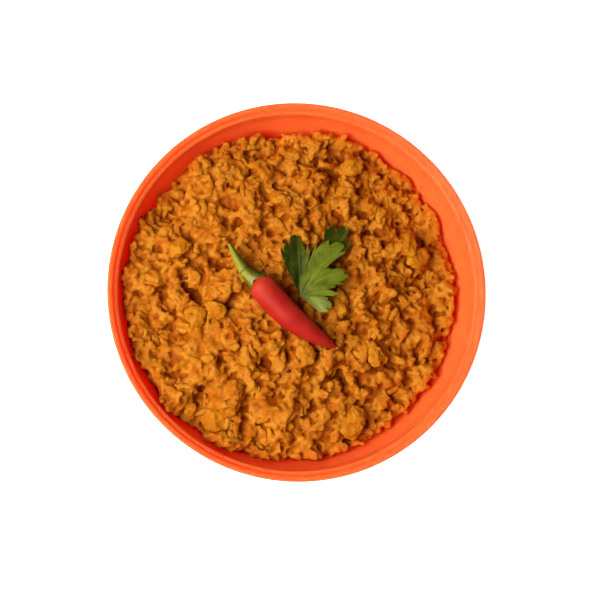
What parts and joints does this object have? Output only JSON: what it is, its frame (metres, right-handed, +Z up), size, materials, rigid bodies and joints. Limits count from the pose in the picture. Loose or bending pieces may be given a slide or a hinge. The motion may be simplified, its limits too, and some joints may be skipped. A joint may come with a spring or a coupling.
{
  "type": "bowl of chicken tikka with rice",
  "caption": "Round orange plastic bowl filled with a mound of saucy tikka rice with bits of chicken, topped with a red chilli and a green herb leaf.",
  "frame": {"origin": "middle of the ring that the bowl stands on, on the surface under it", "axes": "+Z up the bowl's axis, +X to the right and +Y to the far side as seen from above, with the chilli running from upper left to lower right"},
  "size_m": [0.17, 0.17, 0.0721],
  "materials": {
    "bowl_plastic": "orange, satin, smooth moulded",
    "tikka_rice": "moist yellow-brown coated rice, soft sheen",
    "chilli_skin": "smooth red waxy skin",
    "chilli_green": "green stalk, slightly waxy",
    "herb_green": "fresh green leaf with paler veins"
  },
  "bodies": {
    "root": {"bowl": "bowl_plastic", "rice_heap": "tikka_rice", "chilli_pod": "chilli_skin", "chilli_stalk": "chilli_green", "herb_leaf": "herb_green", "herb_leaflet": "herb_green"}
  },
  "joints": []
}
